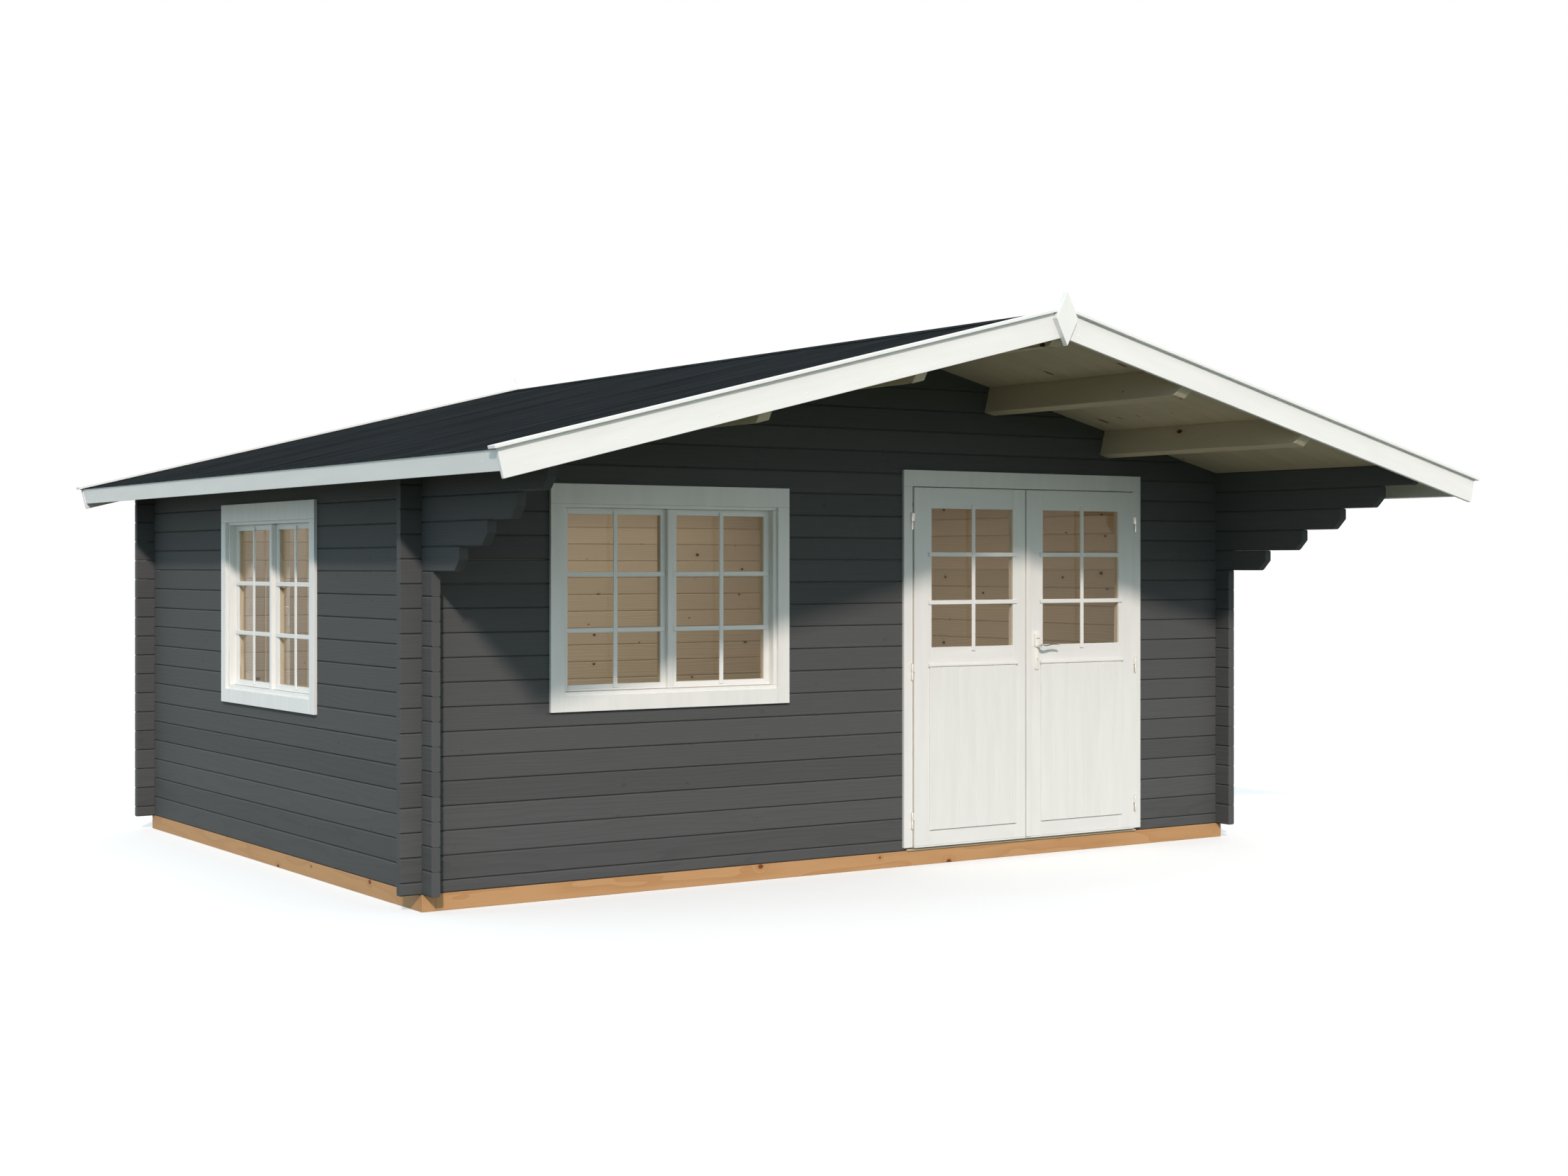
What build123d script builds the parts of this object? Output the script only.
"""Log-built garden shed with a deep front canopy, double doors and two windows.

Millimetres, +Z up. The front faces -Y, and +X is to the right of someone who faces it.
The origin is on the ground, under the middle of the whole part.
"""

import os
from math import ceil, cos, radians, sin, tan

from build123d import *

# Clearances
log_gap = 0.4  # between a log and the next one, and in the corner notches
fit_gap = 0.4  # between pieces of joinery, and between them and the logs
swing_gap = 5.0  # round the door leaves
overrun = 25.0  # by which a cut runs past what it cuts

# Logs: a flat profile with a bevel along each edge, crossing at the corners
log_thickness = 44.0
log_height = 114.0
log_bevel = 6.0
notch_share = 0.5  # of the log's height, notched away from below at a crossing
corner_stub = 106.0  # log end beyond the crossing wall
inner_width = 5000.0
inner_depth = 3800.0
side_logs = 18
offcut_share = 0.05  # of a log's height: a gable offcut shorter than this isn't used

# Brackets: the upper side logs step forward under the canopy
bracket_logs = 5
bracket_reach = 395.0
bracket_step = 280.0
bracket_bevel = 56.0

# Foundation and floor
foundation_height = 80.0
foundation_width = 70.0
joist_width = 60.0
joist_count = 7
floor_thickness = 18.0

# Roof
roof_pitch = 14.0
front_overhang = 1500.0
rear_overhang = 180.0
eave_overhang = 344.0
roof_board_thickness = 19.0
felt_thickness = 4.0
purlin_width = 70.0
purlin_depth = 140.0
purlin_bevel = 42.0
purlins_each_side = 2

# White boards round the roof's edge
barge_depth = 120.0
barge_thickness = 20.0
barge_end = 6.0  # beyond the eave board
eave_board_depth = 90.0
eave_board_thickness = 18.0
cap_thickness = 14.0
cap_width = 64.0
cap_lip = 20.0  # in front of the barge board
cap_end = 18.0  # past the barge board's end
finial_width = 132.0
finial_height = 255.0
finial_thickness = 30.0
finial_rise = 90.0  # above the top of the barge boards

# Windows: a frame in a gap in the logs, with two casements
window_first_log = 7
window_logs = 9
window_opening = 1277.0
window_left_share = 0.308  # of the front wall's free length, left of the front window
window_settling = 41.0  # room above the frame for the logs to settle
window_jamb = 44.0
window_sill = 50.0
window_head = 51.0
joinery_depth = 74.0
sash_setback = 38.0
sash_depth = 36.0
sash_stile = 31.0
sash_meeting_stile = 45.0
sash_rail = 31.0
sash_strip_width = 32.0
sash_strip_lap = 20.0  # over the left casement
sash_strip_thickness = 25.0
sash_glass_lip = 26.0  # of wood in front of the glass

# Cover boards round the windows and the doorway
trim_thickness = 18.0
trim_lap = 44.0  # over the logs at the sides and below
window_trim_side = 69.0
window_trim_head = 97.0
window_trim_sill = 75.0
trim_head_lap = 21.0
door_trim_side = 57.0
door_trim_head = 87.0
trim_inner_lap = 44.0

# Glass
glass_thickness = 4.0
glass_rebate = 10.0

# Doorway and doors
door_opening = 1594.0
door_right_share = 0.308  # of the front wall's free length, right of the doorway
door_logs = 17
door_settling = 25.0
door_liner = 12.0
door_stop = 28.0
threshold_height = 18.0
threshold_lip = 30.0
leaf_thickness = 40.0
leaf_proud = 10.0  # in front of the cover boards
leaf_lift = 7.0  # above the threshold
leaf_stile = 114.0
leaf_meeting_stile = 106.0  # from the middle of the doorway
leaf_top_rail = 110.0
leaf_bottom_rail = 97.0
leaf_glass_height = 739.0
leaf_glass_lip = 20.0  # of wood in front of the glass
leaf_middle_rail = 122.0
meeting_strip_width = 32.0
meeting_strip_thickness = 10.0
panel_lap = 17.0
panel_thickness = 9.0
drip_height = 21.0
drip_thickness = 14.0
drip_fall = 6.0
drip_overhang = 7.0  # past the panel at both ends

# Hinges: a fixed half with a pin, under a lift-off half on the leaf's edge
hinge_height = 83.0
hinge_radius = 6.0
hinge_pin_radius = 3.2
hinge_pin_gap = 0.3
hinge_split = 0.4
hinge_side = 14.0  # pin line outside the leaf's edge
hinge_proud = 8.0  # pin line in front of the cover boards
hinge_foot_width = 9.0
hinge_arm_thickness = 4.0
hinge_height_shares = (0.072, 0.486, 0.906)  # of the leaf's height

# Lever handle on the right leaf
handle_height = 1149.0
plate_width = 40.0
plate_neck_width = 32.0
plate_above = 74.0
plate_below = 132.0
plate_shoulder = 8.0
plate_thickness = 8.0
plate_block_thickness = 16.0
plate_inset = 22.0  # from the meeting strip's edge
plate_corner = 12.0
plate_nose = 15.0
lever_width = 18.0
lever_thickness = 14.0
lever_stand = 34.0
lever_length = 120.0
spindle_radius = 8.0
spindle_gap = 0.3

# Walls and roof, worked out from the sizes above
outer_width = inner_width + 2 * log_thickness
outer_depth = inner_depth + 2 * log_thickness
pitch = radians(roof_pitch)
slope = tan(pitch)
eave_height = foundation_height + side_logs * log_height
ridge_height = eave_height + slope * inner_width / 2
edge_reach = barge_thickness + max(cap_lip, finial_thickness)
front_reach = front_overhang + edge_reach
rear_reach = rear_overhang + edge_reach
front_wall = front_reach - (front_reach + outer_depth + rear_reach) / 2
rear_wall = front_wall + outer_depth
roof_front = front_wall - front_overhang
roof_rear = rear_wall + rear_overhang
half_log = log_height / 2
notch = notch_share * log_height
gable_base = foundation_height + half_log
gable_logs = ceil((ridge_height - gable_base) / log_height)
eave_run = (outer_width / 2 + eave_overhang) / cos(pitch)
barge_run = eave_run + eave_board_thickness + barge_end
purlin_pitch = inner_width / 2 / (purlins_each_side + 1) / cos(pitch)
purlin_runs = [purlin_pitch * number for number in range(1, purlins_each_side + 1)]
log_reach = outer_width / 2 + corner_stub
gable_reach = inner_width / 2 - log_gap

# Openings in the walls
window_height = window_logs * log_height
door_height = half_log + door_logs * log_height
free_front = inner_width - window_opening - door_opening
window_centre = (window_opening - inner_width) / 2 + window_left_share * free_front
door_centre = (inner_width - door_opening) / 2 - door_right_share * free_front
door_left = door_centre - door_opening / 2
door_right = door_centre + door_opening / 2
front_sill = gable_base + window_first_log * log_height
left_sill = foundation_height + window_first_log * log_height
left_window_centre = (front_wall + rear_wall) / 2

# The doors, measured from the middle of the doorway at the foundation's top
leaf_edge = door_opening / 2 - door_liner - swing_gap
leaf_bottom = threshold_height + leaf_lift
door_trim_top = door_height + trim_head_lap
leaf_head = door_trim_top - door_trim_head
leaf_top = leaf_head - swing_gap
leaf_height = leaf_top - leaf_bottom
leaf_face = trim_thickness + leaf_proud
strip_edge = meeting_strip_width / 2
glass_top = leaf_top - leaf_top_rail
glass_bottom = glass_top - leaf_glass_height
panel_top = glass_bottom - leaf_middle_rail
panel_bottom = leaf_bottom + leaf_bottom_rail
glass_inner = leaf_meeting_stile
glass_outer = leaf_edge - leaf_stile
pin_line = leaf_edge + hinge_side
pin_proud = trim_thickness + hinge_proud
handle_centre = strip_edge + plate_inset + plate_width / 2
handle_level = handle_height - foundation_height

front_window_plane = Plane(
    origin=(window_centre, front_wall, front_sill), x_dir=(1, 0, 0), z_dir=(0, -1, 0)
)
left_window_plane = Plane(
    origin=(-outer_width / 2, left_window_centre, left_sill), x_dir=(0, -1, 0), z_dir=(-1, 0, 0)
)
door_plane = Plane(
    origin=(door_centre, front_wall, foundation_height), x_dir=(1, 0, 0), z_dir=(0, -1, 0)
)


def save(piece, name):
    """Label a finished piece and write it as a STEP file."""
    piece.part.label = name
    export_step(piece.part, f"parts/{name}.step")


def slope_plane(side, along):
    """Cross-section plane of one roof slope: x runs down the slope, y stands off it."""
    return Plane(
        origin=(0, along, ridge_height),
        x_dir=(side * cos(pitch), 0, -sin(pitch)),
        z_dir=(0, -side, 0),
    )


def roof_height(across):
    """Height of the roof's underside at a distance from the ridge."""
    return ridge_height - slope * abs(across)


def boards(plane, layers):
    """Boards set out on a plane: each layer is a lift, a thickness and a list of rectangles."""
    with BuildPart() as made:
        for lift, thickness, rectangles in layers:
            with BuildSketch(plane.offset(lift)):
                for left, right, bottom, top in rectangles:
                    with Locations(((left + right) / 2, (bottom + top) / 2)):
                        Rectangle(right - left, top - bottom)
            extrude(amount=thickness)
    return made


def side_wall(side, opening=None):
    """Logs of a side wall. The upper ones reach forward as stepped brackets."""
    middle = side * (outer_width - log_thickness) / 2
    rear_end = rear_wall + corner_stub
    plain = side_logs - bracket_logs
    reaches = [min(bracket_reach + bracket_step * step, front_overhang) for step in range(bracket_logs)]
    crossings = (front_wall + log_thickness / 2, rear_wall - log_thickness / 2)
    with BuildPart() as wall:
        runs = [(0, plain, corner_stub)]
        runs += [(plain + step, plain + step + 1, reach) for step, reach in enumerate(reaches)]
        for first, last, reach in runs:
            with BuildSketch(Plane.XZ.offset(-rear_end)) as section:
                for course in range(first, last):
                    with Locations((middle, foundation_height + (course + 1) * log_height - half_log)):
                        Rectangle(log_thickness, log_height - log_gap)
                chamfer(section.vertices(), log_bevel)
            extrude(amount=rear_end - front_wall + reach)
        # The lower front corner of each bracket
        with BuildSketch(Plane.YZ.offset(middle)):
            for step, reach in enumerate(reaches):
                tip = front_wall - reach
                bottom = foundation_height + (plain + step) * log_height + log_gap / 2
                with BuildLine():
                    Polyline(
                        (tip - overrun, bottom - overrun),
                        (tip + bracket_bevel + overrun, bottom - overrun),
                        (tip - overrun, bottom + bracket_bevel + overrun),
                        close=True,
                    )
                make_face()
        extrude(amount=log_thickness, both=True, mode=Mode.SUBTRACT)
        # Notches over the logs of the front and rear walls
        with BuildSketch(Plane.YZ.offset(middle)):
            for crossing in crossings:
                for course in range(side_logs):
                    with Locations((crossing, foundation_height + course * log_height + notch / 2)):
                        Rectangle(log_thickness + log_gap, notch + log_gap)
        extrude(amount=log_thickness, both=True, mode=Mode.SUBTRACT)
        # The roof lies on the bevelled top log
        with BuildSketch(Plane.XZ.offset(-(front_wall + rear_wall) / 2)):
            with BuildLine():
                inner = side * inner_width / 2 - side * overrun
                outer = side * outer_width / 2 + side * overrun
                Polyline(
                    (inner, roof_height(inner)),
                    (outer, roof_height(outer)),
                    (outer, ridge_height),
                    (inner, ridge_height),
                    close=True,
                )
            make_face()
        extrude(amount=outer_depth + front_overhang, both=True, mode=Mode.SUBTRACT)
        if opening:
            with BuildSketch(opening):
                with Locations((0, window_height / 2)):
                    Rectangle(window_opening + 2 * fit_gap, window_height)
            extrude(amount=2 * log_thickness, both=True, mode=Mode.SUBTRACT)
    return wall


def end_wall(outer_face, inward, first, last, left, right, opening=None):
    """Logs of the front or rear wall from one course to another. Course -1 is the half log."""
    middle = outer_face + inward * log_thickness / 2
    with BuildPart() as wall:
        with BuildSketch(Plane.YZ.offset(left)) as section:
            for course in range(first, last):
                height = log_height if course >= 0 else half_log
                top = gable_base + (course + 1) * log_height
                with Locations((middle, top - height / 2)):
                    Rectangle(log_thickness, height - log_gap)
            chamfer(section.vertices(), log_bevel)
        extrude(amount=right - left)
        # Notches over the logs of the side walls
        with BuildSketch(Plane.XZ.offset(-middle)):
            for side in (-1, 1):
                for course in range(door_logs):
                    level = gable_base + course * log_height + notch / 2
                    with Locations((side * (outer_width - log_thickness) / 2, level)):
                        Rectangle(log_thickness + log_gap, notch + log_gap)
        extrude(amount=log_thickness, both=True, mode=Mode.SUBTRACT)
        # The gable follows the roof's underside
        with BuildSketch(Plane.XZ.offset(-middle)):
            reach = log_reach + overrun
            sky = gable_base + (gable_logs + 1) * log_height
            with BuildLine():
                Polyline(
                    (-reach, roof_height(reach)),
                    (0, ridge_height),
                    (reach, roof_height(reach)),
                    (reach, sky),
                    (-reach, sky),
                    close=True,
                )
            make_face()
        extrude(amount=log_thickness, both=True, mode=Mode.SUBTRACT)
        # Seats for the purlins
        for side in (-1, 1):
            with BuildSketch(slope_plane(side, middle)):
                for run in purlin_runs:
                    with Locations((run, -purlin_depth / 2)):
                        Rectangle(purlin_width + 2 * fit_gap, purlin_depth + 2 * fit_gap)
            extrude(amount=log_thickness, both=True, mode=Mode.SUBTRACT)
        with BuildSketch(Plane.XZ.offset(-middle)):
            with Locations((0, ridge_height - purlin_depth / 2)):
                Rectangle(purlin_width + 2 * fit_gap, purlin_depth + 2 * fit_gap)
        extrude(amount=log_thickness, both=True, mode=Mode.SUBTRACT)
        if opening:
            with BuildSketch(opening):
                with Locations((0, window_height / 2)):
                    Rectangle(window_opening + 2 * fit_gap, window_height)
            extrude(amount=2 * log_thickness, both=True, mode=Mode.SUBTRACT)
    with BuildPart() as kept:
        add([log for log in wall.solids() if log.bounding_box().size.Z > offcut_share * log_height])
    return kept


def slope_boards(side, run, low, high, spans, start=None):
    """Boards along one roof slope, mitred at the ridge unless they start further down."""
    with BuildPart() as made:
        for front, rear in spans:
            with BuildSketch(slope_plane(side, (front + rear) / 2)):
                with BuildLine():
                    Polyline(
                        (-low * slope if start is None else start, low),
                        (run, low),
                        (run, high),
                        (-high * slope if start is None else start, high),
                        close=True,
                    )
                make_face()
            extrude(amount=(rear - front) / 2, both=True)
    return made


def purlin_pair(side):
    """Purlins of one slope, square to it, with their lower front corner cut off."""
    across = slope_plane(side, 0)
    front, rear = side * roof_front, side * roof_rear
    with BuildPart() as purlins:
        for run in purlin_runs:
            middle = across.from_local_coords((run, 0, 0))
            with BuildSketch(Plane(origin=middle, x_dir=(0, side, 0), z_dir=across.x_dir)):
                with BuildLine():
                    Polyline(
                        (front, 0),
                        (rear, 0),
                        (rear, -purlin_depth),
                        (front + side * purlin_bevel, -purlin_depth),
                        (front, purlin_bevel - purlin_depth),
                        close=True,
                    )
                make_face()
            extrude(amount=purlin_width / 2, both=True)
    return purlins


def finial_outline(plane, margin):
    """Diamond of the gable finial, with a margin round it."""
    half_width = finial_width / 2 + margin
    half_height = finial_height / 2 + margin
    middle = barge_top + finial_rise - finial_height / 2
    with BuildSketch(plane) as outline:
        with BuildLine():
            Polyline(
                (0, middle - half_height),
                (half_width, middle),
                (0, middle + half_height),
                (-half_width, middle),
                close=True,
            )
        make_face()
    return outline.sketch


def barge_caps(side):
    """Cap strips over the barge boards, cut away round the finials."""
    low = roof_board_thickness + felt_thickness
    front_lip = roof_front - barge_thickness - cap_lip
    rear_lip = roof_rear + barge_thickness + cap_lip
    spans = [(front_lip, front_lip + cap_width), (rear_lip - cap_width, rear_lip)]
    strips = slope_boards(side, barge_run + cap_end, low, low + cap_thickness, spans)
    with BuildPart() as caps:
        add(strips.part)
        extrude(finial_outline(front_face_plane, fit_gap), amount=2 * finial_thickness, mode=Mode.SUBTRACT)
        extrude(finial_outline(rear_face_plane, fit_gap), amount=2 * finial_thickness, mode=Mode.SUBTRACT)
    return caps


def trim_boards(half_width, bottom, top, side_width, head_height, sill_height):
    """Rectangles of the cover boards: a head board over two side boards, and a sill board."""
    inner = half_width - side_width
    sides_top = top - head_height - fit_gap
    rectangles = [
        (-half_width, half_width, top - head_height, top),
        (-half_width, -inner, bottom, sides_top),
        (inner, half_width, bottom, sides_top),
    ]
    if sill_height:
        rectangles.append((-inner + fit_gap, inner - fit_gap, bottom, bottom + sill_height))
    return rectangles


def window(plane, name):
    """Cover boards, frame, casements and glass of one window."""
    half = window_opening / 2
    frame_top = window_height - window_settling
    outer_trim = trim_boards(
        half + trim_lap,
        -trim_lap,
        window_height + trim_head_lap,
        window_trim_side,
        window_trim_head,
        window_trim_sill,
    )
    inner_trim = trim_boards(
        half + trim_inner_lap,
        -trim_inner_lap,
        frame_top + trim_inner_lap,
        trim_inner_lap - fit_gap,
        trim_inner_lap - fit_gap,
        trim_inner_lap - fit_gap,
    )
    inside_proud = log_thickness - joinery_depth
    trim = boards(
        plane,
        [(0, trim_thickness, outer_trim), (-log_thickness, inside_proud, inner_trim)],
    )
    save(trim, f"{name}_window_trim")

    frame_rectangles = [
        (-half, half, frame_top - window_head, frame_top),
        (-half, half, 0, window_sill),
        (-half, -half + window_jamb, window_sill + fit_gap, frame_top - window_head - fit_gap),
        (half - window_jamb, half, window_sill + fit_gap, frame_top - window_head - fit_gap),
    ]
    save(boards(plane, [(0, -joinery_depth, frame_rectangles)]), f"{name}_window_frame")

    low = window_sill + fit_gap
    high = frame_top - window_head - fit_gap
    reach = half - window_jamb - fit_gap
    panes = []
    with BuildPart() as sashes:
        for side in (-1, 1):
            outer, inner = side * reach, side * fit_gap
            pane_outer, pane_inner = outer - side * sash_stile, inner + side * sash_meeting_stile
            pane_width = abs(pane_outer - pane_inner)
            pane_height = high - low - 2 * sash_rail
            pane_middle = ((pane_outer + pane_inner) / 2, (low + high) / 2)
            panes.append((pane_middle, pane_width, pane_height))
            with BuildSketch(plane.offset(-sash_setback)):
                with Locations(((outer + inner) / 2, (low + high) / 2)):
                    Rectangle(abs(outer - inner), high - low)
                with Locations(pane_middle):
                    Rectangle(pane_width, pane_height, mode=Mode.SUBTRACT)
            extrude(amount=-sash_depth)
        # The right casement carries a strip on its meeting stile, which laps over the left casement
        strip_right = sash_strip_width - sash_strip_lap
        with BuildSketch(plane.offset(fit_gap - sash_setback)):
            with Locations((strip_right - sash_strip_width / 2, (low + high) / 2)):
                Rectangle(sash_strip_width, high - low)
        extrude(amount=sash_strip_thickness)
        with BuildSketch(plane.offset(-sash_setback)):
            with Locations(((fit_gap + strip_right) / 2, (low + high) / 2)):
                Rectangle(strip_right - fit_gap, high - low)
        extrude(amount=sash_strip_thickness)
        with BuildSketch(plane.offset(-sash_setback - sash_glass_lip)):
            for middle, width, height in panes:
                with Locations(middle):
                    Rectangle(width + 2 * glass_rebate, height + 2 * glass_rebate)
        extrude(amount=-sash_depth, mode=Mode.SUBTRACT)
    save(sashes, f"{name}_window_sashes")

    with BuildPart() as glass:
        with BuildSketch(plane.offset(-sash_setback - sash_glass_lip)):
            for middle, width, height in panes:
                with Locations(middle):
                    Rectangle(width + glass_rebate, height + glass_rebate)
        extrude(amount=-glass_thickness)
    save(glass, f"{name}_window_glass")


def door_leaf(side, free_edge):
    """One door leaf: stiles and rails round the glass above and the boarded panel below."""
    hinge_edge = side * leaf_edge
    glass_middle = side * (glass_inner + glass_outer) / 2
    with BuildPart() as leaf:
        with BuildSketch(door_plane.offset(leaf_face)):
            with Locations(((hinge_edge + free_edge) / 2, (leaf_bottom + leaf_top) / 2)):
                Rectangle(abs(hinge_edge - free_edge), leaf_height)
            with Locations((glass_middle, (glass_bottom + glass_top) / 2)):
                Rectangle(glass_outer - glass_inner, leaf_glass_height, mode=Mode.SUBTRACT)
            with Locations((glass_middle, (panel_bottom + panel_top) / 2)):
                Rectangle(glass_outer - glass_inner, panel_top - panel_bottom, mode=Mode.SUBTRACT)
        extrude(amount=-leaf_thickness)
        with BuildSketch(door_plane.offset(leaf_face - leaf_glass_lip)):
            with Locations((glass_middle, (glass_bottom + glass_top) / 2)):
                Rectangle(glass_outer - glass_inner + 2 * glass_rebate, leaf_glass_height + 2 * glass_rebate)
        extrude(amount=-leaf_thickness, mode=Mode.SUBTRACT)
    return leaf


def door_panel(side):
    """Boarded panel over the lower opening of a leaf, with a sloping drip strip above it."""
    left, right = sorted((side * (glass_inner - panel_lap), side * (glass_outer + panel_lap)))
    top = panel_top + panel_lap
    with BuildPart() as panel:
        with BuildSketch(door_plane.offset(leaf_face)):
            with Locations(((left + right) / 2, (panel_bottom - panel_lap + top) / 2)):
                Rectangle(right - left, top - panel_bottom + panel_lap)
        extrude(amount=panel_thickness)
        # Profile of the drip strip: forward is its stand-off, up is its height
        drip_end = Plane(
            origin=door_plane.from_local_coords((left - drip_overhang, top + fit_gap, leaf_face)),
            x_dir=(0, -1, 0),
            z_dir=(-1, 0, 0),
        )
        with BuildSketch(drip_end):
            with BuildLine():
                Polyline(
                    (0, 0),
                    (drip_thickness, 0),
                    (drip_thickness, drip_height - drip_fall),
                    (0, drip_height),
                    close=True,
                )
            make_face()
        extrude(amount=left - right - 2 * drip_overhang)
    return panel


def hinge_halves(side, fixed):
    """Barrel halves along one pin line: the fixed ones carry the pins, the others their sockets."""
    centres = [leaf_bottom + share * leaf_height for share in hinge_height_shares]
    length = (hinge_height - hinge_split) / 2
    pin_length = length - hinge_split
    with BuildPart() as halves:
        for centre in centres:
            bottom = centre - hinge_height / 2 if fixed else centre + hinge_split / 2
            level = Plane(
                origin=(door_centre, front_wall, foundation_height + bottom), x_dir=(1, 0, 0), z_dir=(0, 0, 1)
            )
            with BuildSketch(level):
                with Locations((side * pin_line, -pin_proud)):
                    Circle(hinge_radius)
                if fixed:
                    # Foot on the cover board behind the barrel
                    with Locations((side * pin_line, -trim_thickness - hinge_proud / 2)):
                        Rectangle(hinge_foot_width, hinge_proud)
                else:
                    # Arm to the leaf's edge
                    with Locations((side * (leaf_edge + hinge_side / 2), -pin_proud)):
                        Rectangle(hinge_side, hinge_arm_thickness)
            extrude(amount=length)
            pin_radius = hinge_pin_radius if fixed else hinge_pin_radius + hinge_pin_gap
            with BuildSketch(level.offset(length if fixed else 0)):
                with Locations((side * pin_line, -pin_proud)):
                    Circle(pin_radius)
            extrude(amount=pin_length, mode=Mode.ADD if fixed else Mode.SUBTRACT)
    return halves


os.makedirs("parts", exist_ok=True)

# Foundation: two side beams, with cross beams and joists between them
half_outer = outer_width / 2
beam_span = half_outer - foundation_width - fit_gap
joist_pitch = (2 * beam_span - joist_width) / (joist_count + 1)
ground = Plane.XY
side_beams = boards(
    ground,
    [
        (
            0,
            foundation_height,
            [
                (-half_outer, foundation_width - half_outer, front_wall, rear_wall),
                (half_outer - foundation_width, half_outer, front_wall, rear_wall),
            ],
        )
    ],
)
save(side_beams, "foundation_side_beams")

cross_beams = boards(
    ground,
    [
        (
            0,
            foundation_height,
            [
                (-beam_span, beam_span, front_wall, front_wall + foundation_width),
                (-beam_span, beam_span, rear_wall - foundation_width, rear_wall),
            ],
        )
    ],
)
save(cross_beams, "foundation_cross_beams")

joist_places = [(number - (joist_count - 1) / 2) * joist_pitch for number in range(joist_count)]
joists = boards(
    ground,
    [
        (
            0,
            foundation_height,
            [
                (
                    place - joist_width / 2,
                    place + joist_width / 2,
                    front_wall + foundation_width + fit_gap,
                    rear_wall - foundation_width - fit_gap,
                )
                for place in joist_places
            ],
        )
    ],
)
save(joists, "floor_joists")

floor_half = inner_width / 2 - fit_gap
floor = boards(
    ground,
    [
        (
            foundation_height,
            floor_thickness,
            [
                (
                    -floor_half,
                    floor_half,
                    front_wall + log_thickness + fit_gap,
                    rear_wall - log_thickness - fit_gap,
                )
            ],
        )
    ],
)
save(floor, "floor_boards")

# Log walls
save(side_wall(-1, left_window_plane), "left_wall_logs")
save(side_wall(1), "right_wall_logs")
save(
    end_wall(front_wall, 1, -1, door_logs, -log_reach, door_left - fit_gap, front_window_plane),
    "front_wall_left_logs",
)
save(end_wall(front_wall, 1, -1, door_logs, door_right + fit_gap, log_reach), "front_wall_right_logs")
save(end_wall(front_wall, 1, door_logs, gable_logs, -gable_reach, gable_reach), "front_gable_logs")
save(end_wall(rear_wall, -1, -1, door_logs, -log_reach, log_reach), "rear_wall_logs")
save(end_wall(rear_wall, -1, door_logs, gable_logs, -gable_reach, gable_reach), "rear_gable_logs")

# Ridge purlin, with its top cut to both slopes
with BuildPart() as ridge_purlin:
    with BuildSketch(Plane.XZ.offset(-(roof_front + roof_rear) / 2)):
        with BuildLine():
            Polyline(
                (-purlin_width / 2, ridge_height - purlin_depth),
                (purlin_width / 2, ridge_height - purlin_depth),
                (purlin_width / 2, roof_height(purlin_width / 2)),
                (0, ridge_height),
                (-purlin_width / 2, roof_height(purlin_width / 2)),
                close=True,
            )
        make_face()
    extrude(amount=(roof_rear - roof_front) / 2, both=True)
    front_end = ridge_purlin.faces().sort_by(Axis.Y)[0]
    chamfer(front_end.edges().sort_by(Axis.Z)[0], purlin_bevel)
save(ridge_purlin, "ridge_purlin")

# Roof slopes
barge_top = ridge_height + roof_board_thickness / cos(pitch)
felt_top = roof_board_thickness + felt_thickness
front_face_plane = Plane.XZ.offset(-(roof_front - barge_thickness))
rear_face_plane = Plane(
    origin=(0, roof_rear + barge_thickness, 0), x_dir=(-1, 0, 0), z_dir=(0, 1, 0)
)
barge_spans = [(roof_front - barge_thickness, roof_front), (roof_rear, roof_rear + barge_thickness)]
for side, name in ((-1, "left"), (1, "right")):
    save(purlin_pair(side), f"{name}_purlins")
    whole = [(roof_front, roof_rear)]
    deck = slope_boards(side, eave_run, 0, roof_board_thickness, whole)
    save(deck, f"{name}_roof_boards")
    covered = [(roof_front - barge_thickness, roof_rear + barge_thickness)]
    felt = slope_boards(side, barge_run, roof_board_thickness, felt_top, covered)
    save(felt, f"{name}_roof_felt")
    barge_low = roof_board_thickness - barge_depth
    barges = slope_boards(side, barge_run, barge_low, roof_board_thickness, barge_spans)
    save(barges, f"{name}_barge_boards")
    save(barge_caps(side), f"{name}_barge_caps")
    eave_low = roof_board_thickness - eave_board_depth
    eave_end = eave_run + eave_board_thickness
    eave = slope_boards(side, eave_end, eave_low, roof_board_thickness, whole, start=eave_run)
    save(eave, f"{name}_eave_board")

with BuildPart() as finials:
    extrude(finial_outline(front_face_plane, 0), amount=finial_thickness)
    extrude(finial_outline(rear_face_plane, 0), amount=finial_thickness)
save(finials, "gable_finials")

# Windows
window(front_window_plane, "front")
window(left_window_plane, "left")

# Doorway: cover boards, frame with stops, and threshold
half_door = door_opening / 2
frame_head = door_height - door_settling
door_outer_trim = trim_boards(
    leaf_edge + swing_gap + door_trim_side,
    threshold_height + fit_gap,
    door_trim_top,
    door_trim_side,
    door_trim_head,
    0,
)
door_inner_trim = trim_boards(
    half_door + trim_inner_lap,
    floor_thickness + fit_gap,
    frame_head + trim_inner_lap,
    trim_inner_lap - fit_gap,
    trim_inner_lap - fit_gap,
    0,
)
door_trim = boards(
    door_plane,
    [(0, trim_thickness, door_outer_trim), (-log_thickness, log_thickness - joinery_depth, door_inner_trim)],
)
save(door_trim, "door_trim")

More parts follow.
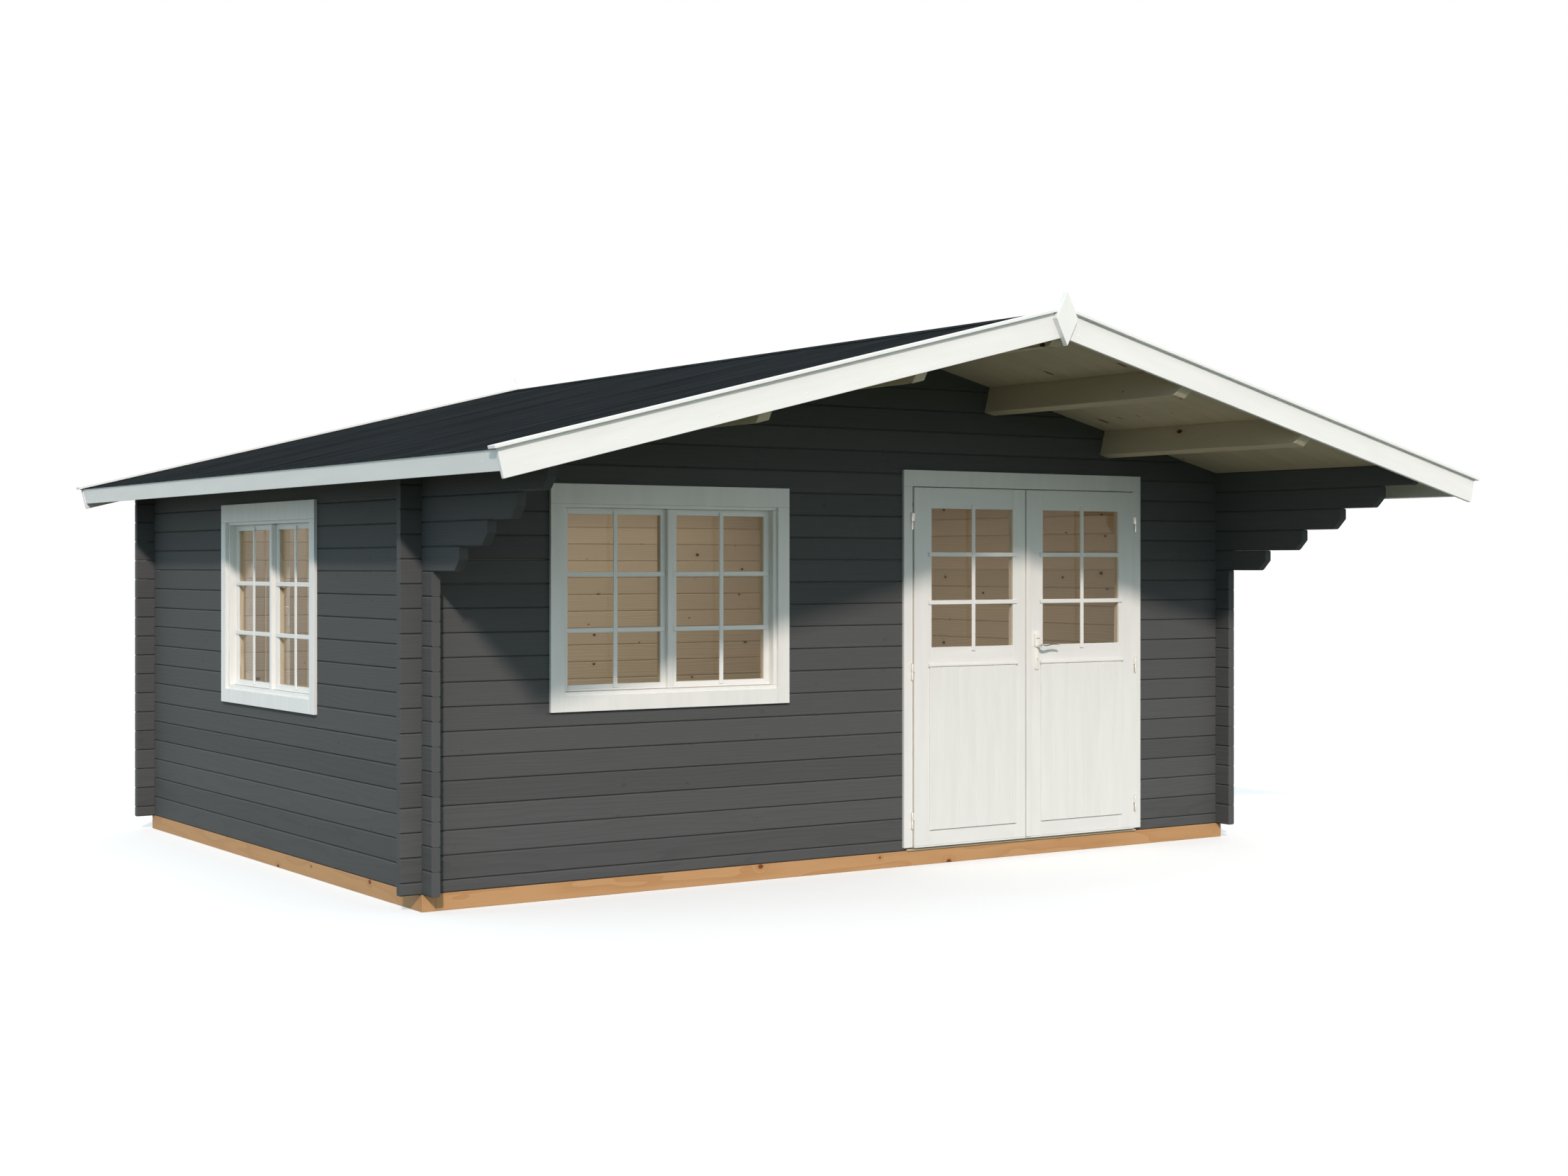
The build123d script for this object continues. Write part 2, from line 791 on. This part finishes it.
stop_front = leaf_face - leaf_thickness - swing_gap
liner_inner = half_door - door_liner
jamb_top = leaf_head - fit_gap
jamb_bottom = max(threshold_height, floor_thickness) + fit_gap
door_liners = [
    (-half_door, half_door, leaf_head, frame_head),
    (-half_door, -liner_inner, jamb_bottom, jamb_top),
    (liner_inner, half_door, jamb_bottom, jamb_top),
]
stop_outer = liner_inner - fit_gap
stop_inner = stop_outer - door_stop
door_stops = [
    (-stop_outer, stop_outer, jamb_top - door_stop, jamb_top),
    (-stop_outer, -stop_inner, jamb_bottom, jamb_top - door_stop - fit_gap),
    (stop_inner, stop_outer, jamb_bottom, jamb_top - door_stop - fit_gap),
]
door_frame = boards(
    door_plane,
    [(0, -joinery_depth, door_liners), (stop_front, -joinery_depth - stop_front, door_stops)],
)
save(door_frame, "door_frame")

with BuildPart() as threshold:
    lip_half = leaf_edge + swing_gap + door_trim_side
    with BuildSketch(Plane(origin=door_plane.origin, x_dir=(1, 0, 0), z_dir=(0, 0, 1))):
        with Locations((0, log_thickness / 2)):
            Rectangle(door_opening, log_thickness)
        with Locations((0, -threshold_lip / 2)):
            Rectangle(2 * lip_half, threshold_lip)
    extrude(amount=threshold_height - fit_gap)
save(threshold, "door_threshold")

save(hinge_halves(-1, True), "left_frame_hinges")
save(hinge_halves(1, True), "right_frame_hinges")

# Door leaves. The meeting strip is on the right leaf, and the gap runs along its left edge.
free_edges = {-1: -strip_edge - swing_gap, 1: -strip_edge}
for side, name in ((-1, "left"), (1, "right")):
    save(door_leaf(side, free_edges[side]), f"{name}_door_leaf")
    save(door_panel(side), f"{name}_door_panel")
    pane_left, pane_right = sorted((side * glass_inner, side * glass_outer))
    lap = glass_rebate / 2
    pane = (pane_left - lap, pane_right + lap, glass_bottom - lap, glass_top + lap)
    save(boards(door_plane, [(leaf_face - leaf_glass_lip, -glass_thickness, [pane])]), f"{name}_door_glass")
    save(hinge_halves(side, False), f"{name}_door_hinges")

strip = (-strip_edge, strip_edge, leaf_bottom, leaf_top)
save(boards(door_plane, [(leaf_face, meeting_strip_thickness, [strip])]), "door_meeting_strip")

# Lever handle: a thick block on a long plate, and a flat lever on a round spindle
handle_plane = door_plane.offset(leaf_face)
with BuildPart() as handle_plate:
    with BuildSketch(handle_plane) as plate_face:
        with Locations((handle_centre, handle_level - plate_below / 2)):
            Rectangle(plate_neck_width, plate_below)
        fillet(plate_face.vertices().group_by(Axis.Y)[0], plate_nose)
    extrude(amount=plate_thickness)
    with BuildSketch(handle_plane):
        with Locations((handle_centre, handle_level + (plate_above - plate_shoulder) / 2)):
            RectangleRounded(plate_width, plate_above + plate_shoulder, plate_corner)
    extrude(amount=plate_block_thickness)
    with BuildSketch(handle_plane):
        with Locations((handle_centre, handle_level)):
            Circle(spindle_radius + spindle_gap)
    extrude(amount=plate_block_thickness, mode=Mode.SUBTRACT)
save(handle_plate, "handle_plate")

with BuildPart() as lever:
    with BuildSketch(handle_plane.offset(spindle_gap)):
        with Locations((handle_centre, handle_level)):
            Circle(spindle_radius)
    extrude(amount=plate_thickness + lever_stand)
    with BuildSketch(handle_plane.offset(plate_thickness + lever_stand)):
        with Locations((handle_centre + lever_length / 2, handle_level)):
            SlotCenterToCenter(lever_length, lever_width)
    extrude(amount=lever_thickness)
save(lever, "handle_lever")
